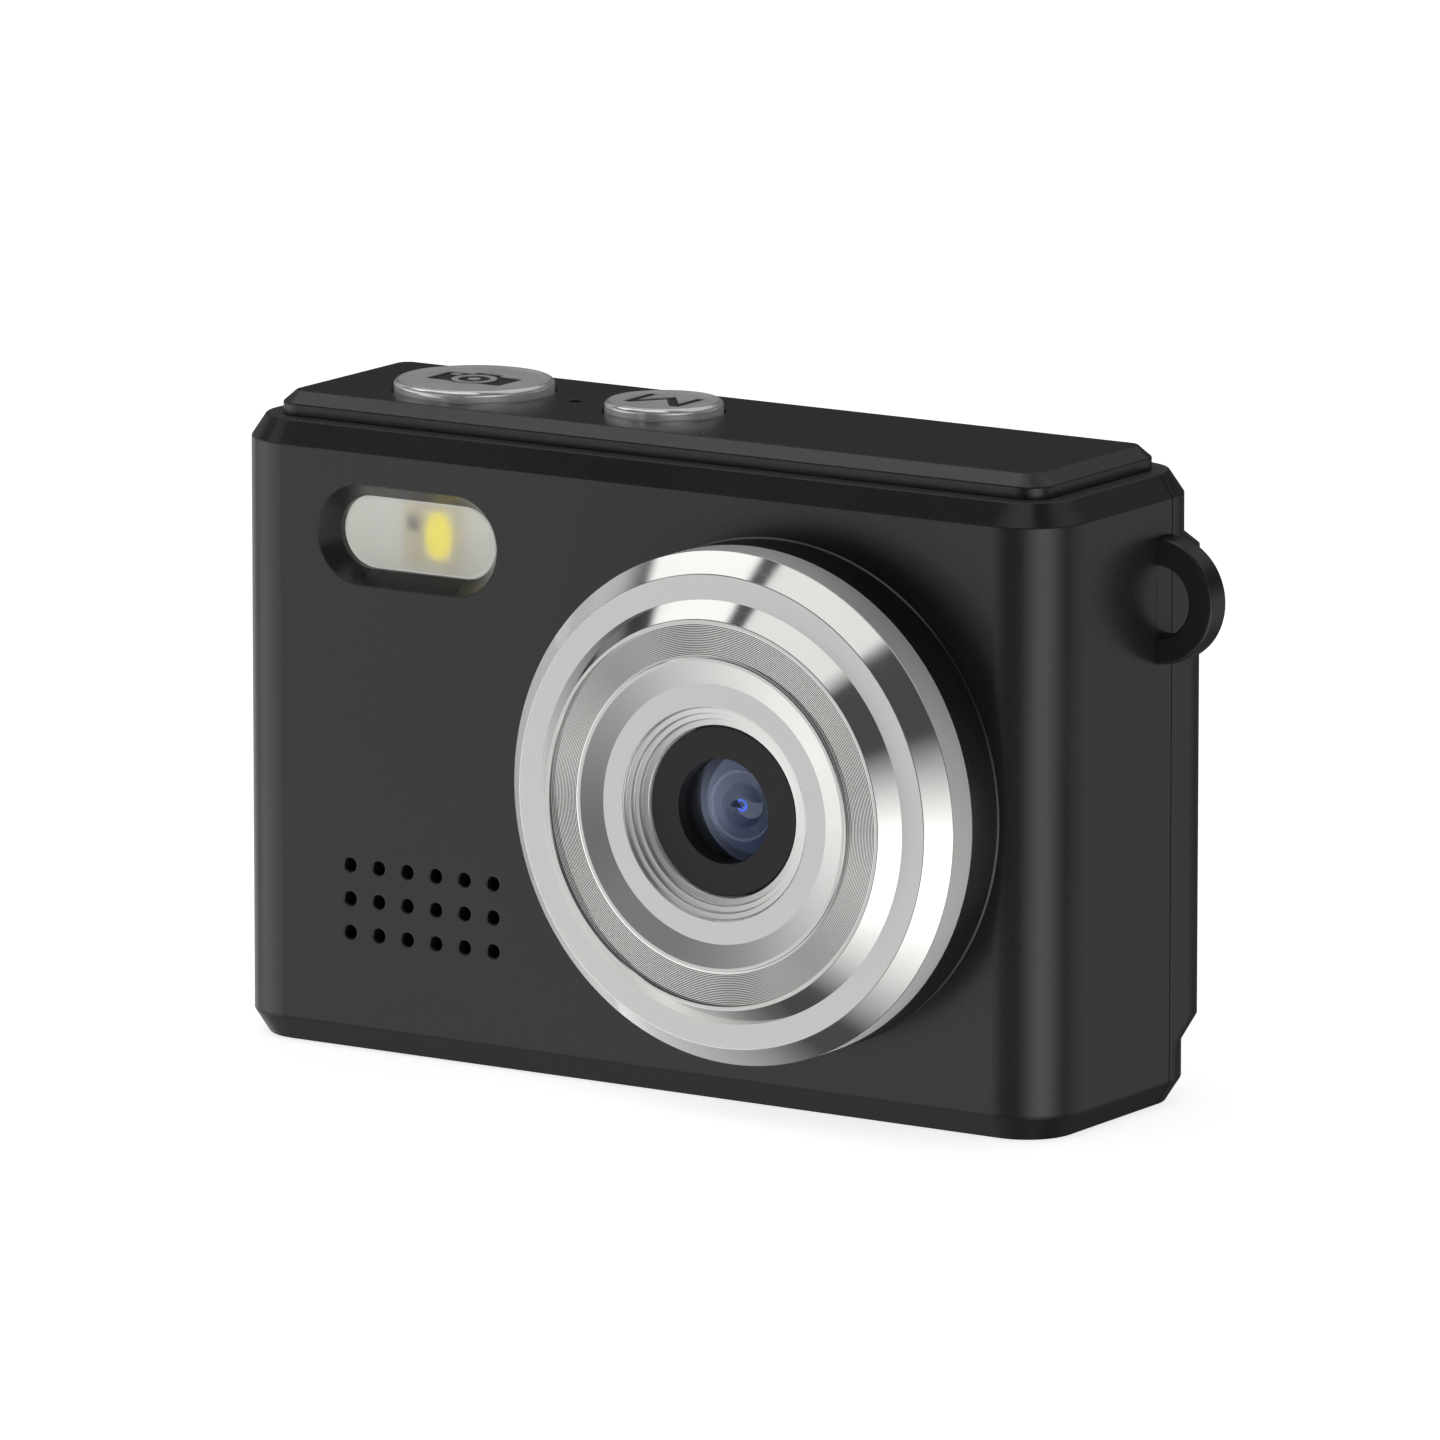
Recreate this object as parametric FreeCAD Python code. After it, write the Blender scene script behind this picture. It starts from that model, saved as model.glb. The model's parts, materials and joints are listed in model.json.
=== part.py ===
"""Compact digital camera as an assembly of separate pieces, in millimetres.

The origin is the centre of the flat underside. +X is to the right as seen from
the front, +Y runs from the lens to the display, and +Z is up.
"""
import FreeCAD
import Part
import math
import os

V = FreeCAD.Vector

# ---- driving dimensions -------------------------------------------------
BODY_W = 80.0            # width of the case
BODY_D = 24.4            # depth of the case without lens and rear band
SHOULDER_Z = 52.15       # height of the shoulder that carries the top cover
CORNER_R = 5.4           # upright corners of the case
WALL = 1.6               # case wall
EDGE_R = 0.2             # rounding of the moulded edges
LIP_R = 0.12             # rounding of small openings and turned edges
SEAM_Y = 6.4             # joint between front and rear cover
SEAM_GAP = 0.12          # shadow line of that joint
BASE_CHAMFER_H = 2.0     # chamfer round the underside: height and inset
BASE_CHAMFER_IN = 1.27
TOP_CHAMFER_H = 1.86     # chamfer under the shoulder: height and inset
TOP_CHAMFER_IN = 1.24
BAND_DEPTH = 2.45        # raised band that carries the display
BAND_FOOT_Z = (5.1, 47.0)     # where the band leaves the case
BAND_FACE_Z = (6.82, 45.6)    # the flat face of the band

CAP_INSET = 2.8          # top cover, in from the sides of the case
CAP_CORNER_R = 2.2
CAP_GAP = 0.05           # shadow gap under the top cover
CAP_WALL_Z = 53.12       # top of its upright wall
CAP_TOP_Z = 54.1
CAP_CHAMFER_IN = 1.13
CAP_SKIN = 1.3

LENS_X = 14.3            # optical axis
LENS_Z = 26.26
LENS_R = 21.1            # sleeve and trim ring
SLEEVE_H = 4.2           # height of the sleeve in front of the case
BORE_R = 7.06            # bore of the trim ring
APERTURE_R = 4.33        # hole of the front disc
DISC_H = 8.3             # height of the front disc's face

FLASH_X = -22.0
FLASH_Z = 43.43
FLASH_W = 17.7           # mouth of the flash recess, a stadium
FLASH_H = 8.4
FLASH_TAPER = 1.15       # how far its walls lean in
FLASH_DEPTH = 1.7
LED_X = -21.0            # middle of the phosphor patch
WINDOW_W = 14.8          # diffuser
WINDOW_H = 6.1

GRILLE_X = -27.77        # top left hole of the speaker grille
GRILLE_Z = 15.68
GRILLE_PITCH = 2.835
GRILLE_R = 0.585
GRILLE_COLUMNS = 6
GRILLE_ROWS = 3

SHUTTER_X = -23.5
SHUTTER_R = 6.65
MODE_X = -4.8
MODE_R = 4.9
BUTTON_PROUD = 0.95
GLYPH_DEPTH = 0.15       # engraving on buttons and keys
CROWN_R = 0.45           # rounded edge of a button
STEM_R = 1.6             # switch plunger under a button
STEM_TOP = 51.2
BUTTON_GAP = 0.22        # clearance round a button
MIC_X = -13.5
MIC_R = 0.6

LUG_Z = 42.2             # strap lug on the right side
LUG_R = 5.19
LUG_EYE_R = 2.93
LUG_T = 2.3

DISPLAY_X = 9.5
DISPLAY_Z = 26.2
DISPLAY_W = 46.4         # cover window
DISPLAY_H = 35.0
VIEW_W = 42.0            # hole behind the window
VIEW_H = 31.8
PANEL_W = 51.8           # display module
PANEL_H = 36.0

KEY_X = -26.0
KEY_Z = 26.2
KEY_PITCH = 6.2
KEY_R = 2.5
KEY_PROUD = 0.5
KEY_GAP = 0.15           # clearance round a key

USB_Z = 17.0             # sockets on the left side
CARD_Z = 33.0
BOARD_Y = 0.8            # front face of the main board
BOARD_T = 1.0

# ---- derived places -----------------------------------------------------
HALF_W = BODY_W / 2
FRONT_Y = -BODY_D / 2
REAR_Y = BODY_D / 2
BAND_Y = REAR_Y + BAND_DEPTH
INNER_W = HALF_W - WALL
INNER_FRONT = FRONT_Y + WALL
INNER_REAR = REAR_Y - WALL
INNER_BAND = BAND_Y - WALL
INNER_R = CORNER_R - WALL
INNER_TOP = SHOULDER_Z - 1.65
CAP_UNDER_Z = CAP_TOP_Z - CAP_SKIN
BOARD_BACK = BOARD_Y + BOARD_T
SPEAKER_X = GRILLE_X + (GRILLE_COLUMNS - 1) * GRILLE_PITCH / 2
SPEAKER_Z = GRILLE_Z - (GRILLE_ROWS - 1) * GRILLE_PITCH / 2
OPENING_X = 31.9         # mouth in the shoulder, under the top cover
OPENING_Y = 8.5
BIG = 200.0


# ---- small helpers ------------------------------------------------------
def box(x0, x1, y0, y1, z0, z1):
    return Part.makeBox(x1 - x0, y1 - y0, z1 - z0, V(x0, y0, z0))


def rod(radius, start, axis, length):
    return Part.makeCylinder(radius, length, V(*start), V(*axis))


def tube(outer, inner, start, axis, length):
    return rod(outer, start, axis, length).cut(rod(inner, start, axis, length))


def joined(first, *others):
    return first.multiFuse(list(others)).removeSplitter()


def softened(shape, radius, wanted):
    """Round the edges whose every corner point passes the test."""
    edges = [e for e in shape.Edges if all(wanted(v.Point) for v in e.Vertexes)]
    return shape.makeFillet(radius, edges)


def near(a, b):
    return abs(a - b) < 1e-4


def rounded_outline(x0, x1, y0, y1, radius, place):
    """Closed wire of a rectangle with round corners; place lifts (x, y) to 3-D."""
    half = radius * (1 - math.sqrt(0.5))
    corners = (
        ((x1, y0 + radius), (x1 - half, y0 + half), (x1 - radius, y0)),
        ((x0 + radius, y0), (x0 + half, y0 + half), (x0, y0 + radius)),
        ((x0, y1 - radius), (x0 + half, y1 - half), (x0 + radius, y1)),
        ((x1 - radius, y1), (x1 - half, y1 - half), (x1, y1 - radius)),
    )
    edges = []
    for i, (start, middle, end) in enumerate(corners):
        edges.append(Part.Arc(place(*start), place(*middle), place(*end)).toShape())
        following = corners[(i + 1) % 4][0]
        if math.dist(end, following) > 1e-6:
            edges.append(Part.LineSegment(place(*end), place(*following)).toShape())
    return Part.Wire(edges)


def level(z):
    return lambda x, y: V(x, y, z)


def upright(y):
    return lambda x, z: V(x, y, z)


def across_x(x):
    return lambda y, z: V(x, y, z)


def slab(x0, x1, y0, y1, radius, z0, z1):
    """Upright prism on a rounded rectangle."""
    wire = rounded_outline(x0, x1, y0, y1, radius, level(z0))
    return Part.Face(wire).extrude(V(0, 0, z1 - z0))


def pane(x, z, width, height, radius, y0, y1):
    """Plate with round corners facing along Y, centred on (x, z)."""
    wire = rounded_outline(x - width / 2, x + width / 2, z - height / 2,
                           z + height / 2, radius, upright(y0))
    return Part.Face(wire).extrude(V(0, y1 - y0, 0))


def stadium(width, height, y0, y1, x=FLASH_X, z=FLASH_Z):
    return pane(x, z, width, height, height / 2 - 0.001, y0, y1)


def loft(low, high):
    return Part.makeLoft([low, high], True, True)


def lathe(profile, x=LENS_X, z=LENS_Z):
    """Turn (radius, height in front of the case) points round the optical axis."""
    points = [V(x + r, FRONT_Y - h, z) for r, h in profile]
    face = Part.Face(Part.makePolygon(points + points[:1]))
    return face.revolve(V(x, FRONT_Y, z), V(0, 1, 0), 360)


def lens_body(radius, front_h, front_bulge, rear_h, rear_bulge):
    """Lens element: a disc with spherical faces, bulges counted forwards."""
    def at(r, h):
        return V(LENS_X + r, FRONT_Y - h, LENS_Z)

    def face_arc(h, bulge):
        sphere_r = (radius ** 2 + bulge ** 2) / (2 * abs(bulge))
        half_r = radius / 2
        sag = sphere_r - math.sqrt(sphere_r ** 2 - half_r ** 2)
        middle = h + math.copysign(abs(bulge) - sag, bulge)
        return Part.Arc(at(0, h + bulge), at(half_r, middle), at(radius, h)).toShape()

    edges = [
        face_arc(front_h, front_bulge),
        Part.LineSegment(at(radius, front_h), at(radius, rear_h)).toShape(),
        face_arc(rear_h, rear_bulge),
        Part.LineSegment(at(0, rear_h + rear_bulge), at(0, front_h + front_bulge)).toShape(),
    ]
    face = Part.Face(Part.Wire(Part.__sortEdges__(edges)))
    return face.revolve(V(LENS_X, FRONT_Y, LENS_Z), V(0, 1, 0), 360)


def ribbon(points, thickness, place, run):
    """Flat cable: a polyline of constant thickness, extruded across its width."""
    left, right = [], []
    for i, (a, b) in enumerate(points):
        before = points[max(i - 1, 0)]
        after = points[min(i + 1, len(points) - 1)]
        din = (a - before[0], b - before[1]) if i else (after[0] - a, after[1] - b)
        dout = (after[0] - a, after[1] - b) if i < len(points) - 1 else din
        angle_in = math.atan2(din[1], din[0])
        angle_out = math.atan2(dout[1], dout[0])
        turn = (angle_out - angle_in + math.pi) % (2 * math.pi) - math.pi
        normal = angle_in + turn / 2 + math.pi / 2
        reach = thickness / 2 / math.cos(turn / 2)
        left.append((a + reach * math.cos(normal), b + reach * math.sin(normal)))
        right.append((a - reach * math.cos(normal), b - reach * math.sin(normal)))
    outline = [place(*p) for p in left + right[::-1]]
    return Part.Face(Part.makePolygon(outline + outline[:1])).extrude(run)


def lead(start, run_x, end_y, bend, radius=0.4):
    """Wire that leaves along +X, turns once and ends on the main board along +Y."""
    x, y, z = start
    corner_x = x + run_x
    half = bend * math.sqrt(0.5)
    arc = Part.Arc(V(corner_x - bend, y, z), V(corner_x - bend + half, y + bend - half, z),
                   V(corner_x, y + bend, z))
    path = Part.Wire([
        Part.LineSegment(V(x, y, z), V(corner_x - bend, y, z)).toShape(),
        arc.toShape(),
        Part.LineSegment(V(corner_x, y + bend, z), V(corner_x, end_y, z)).toShape(),
    ])
    ring = Part.Wire(Part.makeCircle(radius, V(x, y, z), V(1, 0, 0)))
    return path.makePipeShell([ring], True, True)


def screw(x, y, z, axis, length, shank_r=0.85, head_r=1.5, head_t=0.9):
    """Countersunk screw whose head is flush at (x, y, z) and points along axis."""
    start = V(x, y, z)
    direction = V(*axis)
    head = Part.makeCone(head_r, shank_r, head_t, start, direction)
    shank = Part.makeCylinder(shank_r, length, start, direction)
    slot_across = box(-1.1, 1.1, -0.2, 0.2, -0.1, 0.45)
    slot_along = box(-0.2, 0.2, -1.1, 1.1, -0.1, 0.45)
    drive = slot_across.fuse(slot_along)
    drive.Placement = FreeCAD.Placement(start, FreeCAD.Rotation(V(0, 0, 1), direction))
    return joined(head, shank).cut(drive)


def screw_hole(x, y, z, axis, length, shank_r=0.88, head_r=1.6, head_t=0.96):
    head = Part.makeCone(head_r, shank_r, head_t, V(x, y, z), V(*axis))
    return head.fuse(rod(shank_r, (x, y, z), axis, length))


# ---- the case -----------------------------------------------------------
def case_outer():
    """Outside of front and rear cover together."""
    def outline(z, inset=0.0, rear=REAR_Y):
        return rounded_outline(-HALF_W + inset, HALF_W - inset, FRONT_Y + inset,
                               rear - inset, CORNER_R - inset, level(z))

    side_top = SHOULDER_Z - TOP_CHAMFER_H
    rings = [
        outline(0, BASE_CHAMFER_IN),
        outline(BASE_CHAMFER_H),
        outline(BAND_FOOT_Z[0]),
        outline(BAND_FACE_Z[0], rear=BAND_Y),
        outline(BAND_FACE_Z[1], rear=BAND_Y),
        outline(BAND_FOOT_Z[1]),
        outline(side_top),
        outline(SHOULDER_Z, TOP_CHAMFER_IN),
    ]
    sections = [loft(low, high) for low, high in zip(rings, rings[1:])]
    levels = (0, BASE_CHAMFER_H, side_top, SHOULDER_Z)
    return softened(joined(*sections), EDGE_R, lambda p: any(near(p.z, z) for z in levels))


def case_inner():
    """Hollow of the case, one wall inside it, with the band's slopes followed."""
    def outline(z, rear):
        return rounded_outline(-INNER_W, INNER_W, INNER_FRONT, rear, INNER_R, level(z))

    low_slope = (BAND_FACE_Z[0] - BAND_FOOT_Z[0]) / BAND_DEPTH
    high_slope = (BAND_FOOT_Z[1] - BAND_FACE_Z[1]) / BAND_DEPTH
    low_lift = WALL * math.hypot(1, low_slope)
    high_lift = WALL * math.hypot(1, high_slope)
    low_start = BAND_FOOT_Z[0] - WALL * low_slope + low_lift
    high_start = BAND_FOOT_Z[1] + WALL * high_slope - high_lift
    rings = [
        outline(WALL, INNER_REAR),
        outline(low_start, INNER_REAR),
        outline(low_start + BAND_DEPTH * low_slope, INNER_BAND),
        outline(high_start - BAND_DEPTH * high_slope, INNER_BAND),
        outline(high_start, INNER_REAR),
        outline(INNER_TOP, INNER_REAR),
    ]
    sections = [loft(low, high) for low, high in zip(rings, rings[1:])]
    return joined(*sections)


TOP_SCREWS = [(side * 34.2, 0.0) for side in (-1, 1)]
BASE_SCREWS = [(side * 31.0, 0.0) for side in (-1, 1)]
BOARD_POSTS = [(x, z) for x in (-34.0, 34.0) for z in (8.4, 44.0)]
BUTTON_POSTS = [(-14.2, -5.4), (-14.2, 5.4), (2.9, -3.2)]


def lug_seat(margin):
    """Notch in the side wall that the strap lug's foot fills."""
    return box(INNER_W - 0.5, HALF_W + 1, SEAM_Y - LUG_T - margin, SEAM_Y + 0.001,
               LUG_Z - LUG_R - margin, LUG_Z + LUG_R + margin)


def front_cover(shell):
    front_half = box(-BIG, BIG, -BIG, SEAM_Y, -BIG, BIG)
    cover = shell.common(front_half)
    posts = [rod(2.2, (x, INNER_FRONT - 0.5, z), (0, 1, 0), BOARD_Y - INNER_FRONT + 0.5)
             for x, z in BOARD_POSTS]
    collar = stadium(FLASH_W, FLASH_H, INNER_FRONT - 0.3, INNER_FRONT + 0.7)
    cover = joined(cover, collar, *posts)
    mouth = rounded_outline(FLASH_X - FLASH_W / 2, FLASH_X + FLASH_W / 2,
                            FLASH_Z - FLASH_H / 2, FLASH_Z + FLASH_H / 2,
                            FLASH_H / 2 - 0.001, upright(FRONT_Y))
    throat_w = FLASH_W - 2 * FLASH_TAPER
    throat_h = FLASH_H - 2 * FLASH_TAPER
    throat = rounded_outline(FLASH_X - throat_w / 2, FLASH_X + throat_w / 2,
                             FLASH_Z - throat_h / 2, FLASH_Z + throat_h / 2,
                             throat_h / 2 - 0.001, upright(FRONT_Y + FLASH_DEPTH))
    cover = cover.cut(loft(mouth, throat))
    cover = cover.cut(stadium(throat_w, throat_h, FRONT_Y + FLASH_DEPTH - 0.2, INNER_FRONT + 1))
    for column in range(GRILLE_COLUMNS):
        for row in range(GRILLE_ROWS):
            place = (GRILLE_X + column * GRILLE_PITCH, FRONT_Y - 1, GRILLE_Z - row * GRILLE_PITCH)
            cover = cover.cut(rod(GRILLE_R, place, (0, 1, 0), WALL + 2))
    reach_x, reach_z = HALF_W - CORNER_R - 1, SHOULDER_Z - TOP_CHAMFER_H - 1
    cover = softened(cover, LIP_R, lambda p: near(p.y, FRONT_Y) and abs(p.x) < reach_x
                     and BASE_CHAMFER_H + 1 < p.z < reach_z)
    cuts = [rod(0.72, (x, BOARD_Y - 4.2, z), (0, 1, 0), 5) for x, z in BOARD_POSTS]
    cuts.append(rod(19.0, (LENS_X, FRONT_Y - 1, LENS_Z), (0, 1, 0), WALL + 2))
    cuts.append(lug_seat(0.05))
    usb_y = BOARD_BACK + 1.65
    cuts.append(slab_x(-HALF_W - 1, -INNER_W + 1, usb_y, USB_Z, 3.7, 9.4, 1.8))
    cuts.append(slab_x(-HALF_W - 1, -INNER_W + 1, BOARD_BACK + 1.0, CARD_Z, 1.7, 12.2, 0.6))
    cuts += [screw_hole(x, y, SHOULDER_Z, (0, 0, -1), 3) for x, y in TOP_SCREWS]
    cuts += [screw_hole(x, y, 0, (0, 0, 1), 3) for x, y in BASE_SCREWS]
    for cut in cuts:
        cover = cover.cut(cut)
    return cover


def slab_x(x0, x1, y, z, depth, height, radius):
    """Prism along X whose section is a rounded rectangle centred on (y, z)."""
    wire = rounded_outline(y - depth / 2, y + depth / 2, z - height / 2, z + height / 2,
                           radius, lambda a, b: V(x0, a, b))
    return Part.Face(wire).extrude(V(x1 - x0, 0, 0))


def key_places():
    return {
        "key_up": (KEY_X, KEY_Z + KEY_PITCH),
        "key_down": (KEY_X, KEY_Z - KEY_PITCH),
        "key_left": (KEY_X + KEY_PITCH, KEY_Z),
        "key_right": (KEY_X - KEY_PITCH, KEY_Z),
        "key_ok": (KEY_X, KEY_Z),
    }


def rear_cover(shell):
    rear_half = box(-BIG, BIG, SEAM_Y + SEAM_GAP, BIG, -BIG, BIG)
    cover = shell.common(rear_half)
    lip_out = box(-INNER_W + 0.1, INNER_W - 0.1, SEAM_Y - 1.1, SEAM_Y + 0.6,
                  WALL + 0.1, INNER_TOP - 0.1)
    lip_in = box(-INNER_W + 0.9, INNER_W - 0.9, SEAM_Y - 2, SEAM_Y + 2,
                 WALL + 0.9, INNER_TOP - 0.9)
    lip = lip_out.cut(lip_in)
    lip = lip.cut(box(-OPENING_X - 0.5, OPENING_X + 0.5, -BIG, BIG, INNER_TOP - 2, BIG))
    lip = lip.cut(box(INNER_W - 2, BIG, -BIG, BIG, LUG_Z - LUG_R - 1.4, LUG_Z + LUG_R + 1.4))
    lip_root = box(-INNER_W - 0.4, INNER_W + 0.4, SEAM_Y + SEAM_GAP, SEAM_Y + 0.6,
                   WALL - 0.4, INNER_TOP + 0.4).cut(lip_in)
    lip_root = lip_root.cut(box(-OPENING_X - 0.5, OPENING_X + 0.5, -BIG, BIG, INNER_TOP - 2, BIG))
    pieces = [lip, lip_root]
    for x, y in TOP_SCREWS:
        pieces.append(box(x - 2.3, x + 2.3, y - 2.4, INNER_REAR + 0.5, 46.9, INNER_TOP - 0.1))
    for x, y in BASE_SCREWS:
        pieces.append(box(x - 2.3, x + 2.3, y - 2.4, INNER_REAR + 0.5, WALL + 0.1, 5.1))
    for x in (KEY_X - 8.6, KEY_X + 6.6):
        for z in (KEY_Z - 10.6, KEY_Z + 10.6):
            pieces.append(rod(1.5, (x, 10.0, z), (0, 1, 0), INNER_BAND - 9.6))
    cover = joined(cover, *pieces)
    cuts = [pane(DISPLAY_X, DISPLAY_Z, DISPLAY_W + 0.2, DISPLAY_H + 0.2, 1.6,
                 BAND_Y - 1.05, BAND_Y + 1),
            pane(DISPLAY_X, DISPLAY_Z, VIEW_W, VIEW_H, 0.8, INNER_BAND - 1, BAND_Y)]
    for x, z in key_places().values():
        cuts.append(rod(KEY_R + KEY_GAP, (x, INNER_BAND - 1, z), (0, 1, 0), 4))
    cuts += [rod(0.88, (x, y, 46), (0, 0, 1), 6) for x, y in TOP_SCREWS]
    cuts += [rod(0.88, (x, y, 0), (0, 0, 1), 6) for x, y in BASE_SCREWS]
    for cut in cuts:
        cover = cover.cut(cut)
    return cover


def top_cover():
    x, y = HALF_W - CAP_INSET, REAR_Y - CAP_INSET
    low = SHOULDER_Z + CAP_GAP
    wall = slab(-x, x, -y, y, CAP_CORNER_R, low, CAP_WALL_Z)
    rim = rounded_outline(-x, x, -y, y, CAP_CORNER_R, level(CAP_WALL_Z))
    flat_x, flat_y = x - CAP_CHAMFER_IN, y - CAP_CHAMFER_IN
    flat = rounded_outline(-flat_x, flat_x, -flat_y, flat_y, CAP_CORNER_R - CAP_CHAMFER_IN,
                           level(CAP_TOP_Z))
    cap = softened(joined(wall, loft(rim, flat)), EDGE_R,
                   lambda p: near(p.z, CAP_WALL_Z) or near(p.z, CAP_TOP_Z))
    seat = slab(-x + 0.5, x - 0.5, -y + 0.4, y - 0.4, 1.8, SHOULDER_Z, low + 0.2)
    cover = joined(cap, seat)
    pocket = slab(-x + 1.8, x - 1.8, -8.4, 8.4, 1.4, SHOULDER_Z - 1, CAP_UNDER_Z)
    cover = cover.cut(pocket)
    lip = slab(-OPENING_X + 0.2, OPENING_X - 0.2, -8.3, 8.3, 1.6, 49.8, CAP_UNDER_Z + 0.2)
    lip = lip.cut(slab(-OPENING_X + 1.0, OPENING_X - 1.0, -7.5, 7.5, 1.0, 49, CAP_UNDER_Z + 1))
    lip = lip.cut(box(-29.6, 29.6, 7, 9, 49, 50.55))
    pieces = [lip]
    for post_x, post_y in BUTTON_POSTS:
        pieces.append(rod(1.5, (post_x, post_y, 47.7), (0, 0, 1), CAP_UNDER_Z - 47.5))
    cover = joined(cover, *pieces)
    for post_x, post_y in BUTTON_POSTS:
        cover = cover.cut(rod(0.72, (post_x, post_y, 47), (0, 0, 1), 4.2))
    for place, radius in ((SHUTTER_X, SHUTTER_R), (MODE_X, MODE_R)):
        cover = cover.cut(rod(radius + BUTTON_GAP, (place, 0, CAP_UNDER_Z - 1), (0, 0, 1), 4))
    cover = cover.cut(rod(MIC_R, (MIC_X, 0, CAP_UNDER_Z - 1), (0, 0, 1), 4))
    return softened(cover, LIP_R, lambda p: near(p.z, CAP_TOP_Z) and abs(p.y) < SHUTTER_R + 0.5
                    and p.x < MODE_X + SHUTTER_R)


def strap_lug():
    y0 = SEAM_Y - LUG_T
    ring = tube(LUG_R, LUG_EYE_R, (HALF_W, y0, LUG_Z), (0, 1, 0), LUG_T)
    ring = softened(ring, 0.25, lambda p: True)
    ring = ring.common(box(HALF_W - 0.2, BIG, -BIG, BIG, -BIG, BIG))
    foot = box(INNER_W - 0.4, HALF_W, y0, SEAM_Y, LUG_Z - LUG_R, LUG_Z + LUG_R)
    flange_half = LUG_R + 1.2
    flange = box(INNER_W - 1.4, INNER_W - 0.1, y0 - 1.2, SEAM_Y,
                 LUG_Z - flange_half, LUG_Z + flange_half)
    return joined(ring, foot, flange)


def case_screws():
    top = [screw(x, y, SHOULDER_Z, (0, 0, -1), 5.0) for x, y in TOP_SCREWS]
    base = [screw(x, y, 0, (0, 0, 1), 5.0) for x, y in BASE_SCREWS]
    return Part.makeCompound(top + base)


# ---- lens ---------------------------------------------------------------
def lens_sleeve():
    wall_r = LENS_R - 0.12
    sleeve = lathe([(LENS_R, 0), (LENS_R, 0.2), (wall_r, 0.32), (wall_r, SLEEVE_H),
                    (19.5, SLEEVE_H), (19.5, 6.0), (17.9, 6.0), (17.9, -2.8), (18.9, -2.8),
                    (18.9, 0)])
    return softened(sleeve, LIP_R, lambda p: near(p.x - LENS_X, wall_r)
                    and near(FRONT_Y - p.y, SLEEVE_H))


def lens_trim_ring():
    """Turned ring: two polished bevels, a grooved band and three small steps."""
    crest, band = 10.23, 10.13
    rim_flat, inner_flat = 8.82, 9.68
    groove_pitch, groove_depth = 0.14, 0.03
    outer, inner = 15.6, 12.85
    grooves = []
    radius = outer
    while radius - groove_pitch > inner:
        grooves += [(radius, band), (radius - groove_pitch / 2, band - groove_depth)]
        radius -= groove_pitch
    steps = []
    step_r, step_h = 8.73, inner_flat
    for _ in range(3):
        steps += [(step_r, step_h), (step_r - 0.12, step_h - 0.34)]
        step_r -= 0.52
        step_h -= 0.38
    profile = [(LENS_R - 0.03, SLEEVE_H + 0.03), (LENS_R - 0.03, 7.04), (19.4, rim_flat),
               (17.34, rim_flat), (15.95, crest), (15.66, crest)]
    profile += grooves + [(inner, band), (12.8, crest), (12.53, crest), (10.66, inner_flat)]
    profile += steps + [(BORE_R + 0.05, 8.5), (BORE_R, 8.43), (BORE_R, 7.2), (14.0, 7.2),
                        (15.6, 6.1), (19.6, 6.1), (19.6, SLEEVE_H + 0.03)]
    rounded = [(LENS_R - 0.03, 7.04), (19.4, rim_flat), (15.95, crest), (12.53, crest),
               (8.73, inner_flat)]
    return softened(lathe(profile), LIP_R, lambda p: any(
        near(p.x - LENS_X, r) and near(FRONT_Y - p.y, h) for r, h in rounded))


def lens_front_disc():
    return lathe([(BORE_R - 0.12, DISC_H - 0.1), (BORE_R - 0.22, DISC_H), (APERTURE_R, DISC_H),
                  (APERTURE_R, 7.25), (BORE_R - 0.12, 7.25)])


def lens_barrel():
    """Threaded barrel that holds the lens elements."""
    bore = APERTURE_R + 0.05
    return lathe([(6.8, 7.2), (bore, 7.2), (bore, 5.1), (2.72, 5.1), (2.72, 4.9), (3.6, 4.9),
                  (3.6, -4.2), (3.0, -4.2), (3.0, -6.0), (6.0, -6.0), (6.0, 4.6), (6.8, 4.6)])


def middle_lens():
    """Lens element with a small strongly curved dome behind the aperture."""
    rim = rod(3.55, (LENS_X, FRONT_Y - 4.3, LENS_Z), (0, 1, 0), 2.3)
    return rim.fuse(lens_body(1.6, 4.3, 0.65, 3.0, 0.1))


def lens_holder():
    block = box(LENS_X - 7.5, LENS_X + 7.5, -11.2, -2.9, LENS_Z - 7.5, LENS_Z + 7.5)
    foot = box(LENS_X - 9.2, LENS_X + 9.2, -4.6, -2.9, LENS_Z - 9.2, LENS_Z + 9.2)
    holder = joined(block, foot)
    holder = holder.cut(rod(6.05, (LENS_X, -12, LENS_Z), (0, 1, 0), 6.2))
    holder = holder.cut(rod(3.4, (LENS_X, -7, LENS_Z), (0, 1, 0), 3))
    return holder.cut(box(LENS_X - 6, LENS_X + 6, -5.0, -2, LENS_Z - 6, LENS_Z + 6))


# ---- flash, sound and power ---------------------------------------------
def flash_window():
    face = FRONT_Y + 1.8
    front = softened(stadium(WINDOW_W, WINDOW_H, face, -9.6), 0.35, lambda p: near(p.y, face))
    return joined(front, stadium(17.2, 7.9, -9.8, -8.9))


def flash_reflector():
    tray = pane(FLASH_X, FLASH_Z, 17.0, 7.8, 1.2, -8.85, -7.3)
    tray = tray.cut(pane(FLASH_X, FLASH_Z, 15.4, 6.4, 0.8, -9.5, -7.5))
    return tray.cut(pane(LED_X - 1.0, FLASH_Z, 5.3, 5.3, 0.2, -9, -7))


def speaker_frame():
    frame = pane(SPEAKER_X, SPEAKER_Z, 20.0, 10.0, 1.5, -9.9, -6.3)
    return frame.cut(pane(SPEAKER_X, SPEAKER_Z, 17.6, 7.8, 1.2, -10.5, -8.6))


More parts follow.
